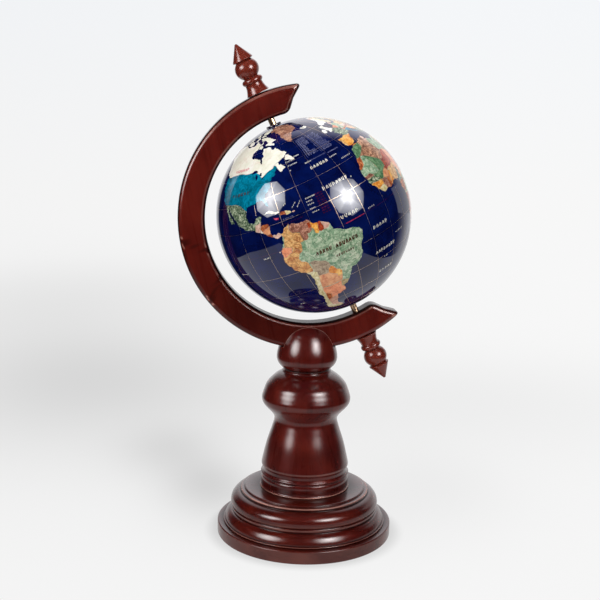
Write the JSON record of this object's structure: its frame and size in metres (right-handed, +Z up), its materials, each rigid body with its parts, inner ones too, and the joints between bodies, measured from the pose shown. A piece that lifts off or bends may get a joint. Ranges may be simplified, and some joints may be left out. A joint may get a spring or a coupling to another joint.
{
  "type": "desk globe",
  "caption": "Inlaid stone globe that spins on a tilted axis in a C-shaped wooden arm on a turned wooden stand.",
  "frame": {"origin": "axis of the turned stand, on the flat underside of its foot", "axes": "+Z up the stand; the arm lies in the XZ plane, its back towards -X and its open side towards +X; the pole axis leans 25 degrees towards -X at the top"},
  "size_m": [0.1791, 0.15, 0.3822],
  "materials": {
    "lacquered_wood": "dark red stain under clear gloss lacquer",
    "brass": "polished",
    "lapis": "dark blue stone polished to a mirror gloss",
    "inlay_stone": "coloured stone and shell inlay polished flush",
    "gold_wire": "polished flush wire",
    "cap_stone": "dark polished stone"
  },
  "bodies": {
    "stand": {"base": "lacquered_wood", "column": "lacquered_wood", "arm": "lacquered_wood", "finial_top": "lacquered_wood", "finial_bottom": "lacquered_wood", "pin_top": "brass", "pin_bottom": "brass"},
    "globe": {"globe": "lapis", "pole_cap_north": "cap_stone", "pole_cap_south": "cap_stone"}
  },
  "joints": [
    {"name": "globe_spin", "type": "hinge", "parent": "stand", "child": "globe", "pos_m": [0.0028, 0, 0.2555], "axis": [-0.4226, 0, 0.9063], "continuous": true}
  ]
}
